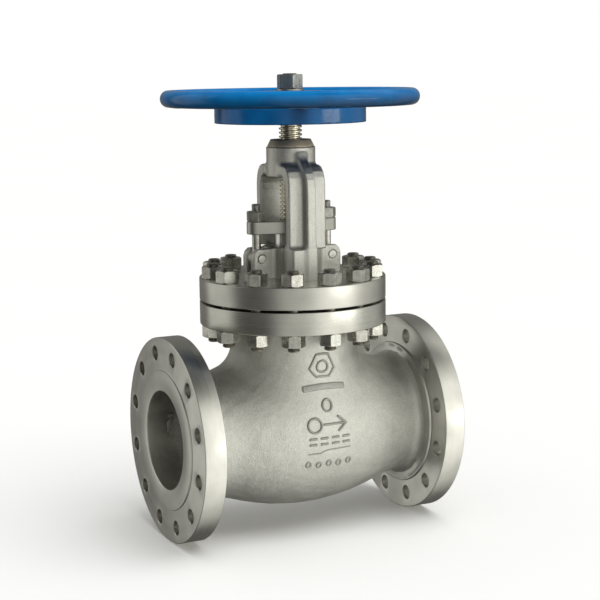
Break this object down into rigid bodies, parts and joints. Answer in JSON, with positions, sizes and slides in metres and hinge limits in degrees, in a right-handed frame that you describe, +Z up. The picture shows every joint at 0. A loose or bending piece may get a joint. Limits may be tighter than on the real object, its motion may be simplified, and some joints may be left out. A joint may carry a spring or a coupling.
{
  "type": "globe valve",
  "caption": "Flanged globe valve with a bolted bonnet, outside screw and yoke, gland packing and a dished handwheel that lifts the disc off its seat.",
  "frame": {"origin": "where the stem axis crosses the pipe axis, midway between the two flange faces", "axes": "+X along the pipe from inlet to outlet, +Z up the stem towards the handwheel, -Y towards the front"},
  "size_m": [0.4444, 0.401, 0.7127],
  "materials": {
    "body_casting": "bead-blasted cast stainless steel, flanges machined to a satin",
    "bonnet_casting": "bead-blasted cast stainless steel, flange machined to a satin",
    "gland_steel": "machined stainless steel, satin",
    "trim_steel": "ground stainless steel",
    "stem_steel": "bright turned stainless steel",
    "gasket": "spiral wound steel and graphite, dark",
    "graphite": "die-formed graphite, matt black",
    "fasteners": "forged stainless steel, dull, with oiled threads",
    "gland_fasteners": "forged stainless steel, dull",
    "pins": "bright turned stainless steel",
    "bushing": "turned bronze, darkened with oil",
    "wheel_paint": "glossy blue paint over cast metal, slight orange peel",
    "wheel_fasteners": "stainless steel, satin",
    "bare_disc": "bare machined steel disc, blank"
  },
  "bodies": {
    "valve_body": {"backseat_bushing": "trim_steel", "body": "body_casting", "bonnet": "bonnet_casting", "bonnet_gasket": "gasket", "bonnet_nut_01": "fasteners", "bonnet_nut_02": "fasteners", "bonnet_nut_03": "fasteners", "bonnet_nut_04": "fasteners", "bonnet_nut_05": "fasteners", "bonnet_nut_06": "fasteners", "bonnet_nut_07": "fasteners", "bonnet_nut_08": "fasteners", "bonnet_nut_09": "fasteners", "bonnet_nut_10": "fasteners", "bonnet_nut_11": "fasteners", "bonnet_nut_12": "fasteners", "bonnet_nut_13": "fasteners", "bonnet_nut_14": "fasteners", "bonnet_stud_01": "fasteners", "bonnet_stud_02": "fasteners", "bonnet_stud_03": "fasteners", "bonnet_stud_04": "fasteners", "bonnet_stud_05": "fasteners", "bonnet_stud_06": "fasteners", "bonnet_stud_07": "fasteners", "bonnet_stud_08": "fasteners", "bonnet_stud_09": "fasteners", "bonnet_stud_10": "fasteners", "bonnet_stud_11": "fasteners", "bonnet_stud_12": "fasteners", "bonnet_stud_13": "fasteners", "bonnet_stud_14": "fasteners", "eyebolt_left": "gland_fasteners", "eyebolt_pin_left": "pins", "eyebolt_pin_right": "pins", "eyebolt_right": "gland_fasteners", "packing_ring_1": "graphite", "packing_ring_2": "graphite", "packing_ring_3": "graphite", "packing_ring_4": "graphite", "packing_ring_5": "graphite", "seat_ring": "trim_steel", "yoke_bushing": "bushing"},
    "disc_carrier": {"disc": "trim_steel", "disc_nut": "trim_steel"},
    "stem_and_wheel": {"stem": "stem_steel", "handwheel": "wheel_paint", "handwheel_key": "wheel_fasteners", "wheel_disc": "bare_disc", "wheel_washer": "wheel_fasteners", "wheel_nut": "wheel_fasteners"},
    "gland": {"gland_flange": "gland_steel", "gland_follower": "gland_steel"},
    "gland_nut_left_body": {"gland_nut_left": "gland_fasteners"},
    "gland_nut_right_body": {"gland_nut_right": "gland_fasteners"}
  },
  "joints": [
    {"name": "disc_lift", "type": "slide", "parent": "valve_body", "child": "disc_carrier", "axis": [0, 0, 1], "range_m": [0, 0.04445]},
    {"name": "handwheel_turn", "type": "hinge", "parent": "disc_carrier", "child": "stem_and_wheel", "pos_m": [0, 0, 0.5173], "axis": [0, 0, 1], "range_deg": [0, 2520]},
    {"name": "gland_lift", "type": "slide", "parent": "valve_body", "child": "gland", "axis": [0, 0, 1], "range_m": [0, 0.00635]},
    {"name": "gland_nut_left_turn", "type": "hinge", "parent": "gland", "child": "gland_nut_left_body", "pos_m": [-0.061, 0, 0.33625], "axis": [0, 0, 1], "range_deg": [0, 1080]},
    {"name": "gland_nut_right_turn", "type": "hinge", "parent": "gland", "child": "gland_nut_right_body", "pos_m": [0.061, 0, 0.33625], "axis": [0, 0, 1], "range_deg": [0, 1080]}
  ],
  "couplings": [
    {"joint": "disc_lift", "follows": "handwheel_turn", "m_per_rad": 0.0010106},
    {"joint": "gland_nut_left_turn", "follows": "gland_lift", "rad_per_m": 2968.4},
    {"joint": "gland_nut_right_turn", "follows": "gland_lift", "rad_per_m": 2968.4}
  ]
}
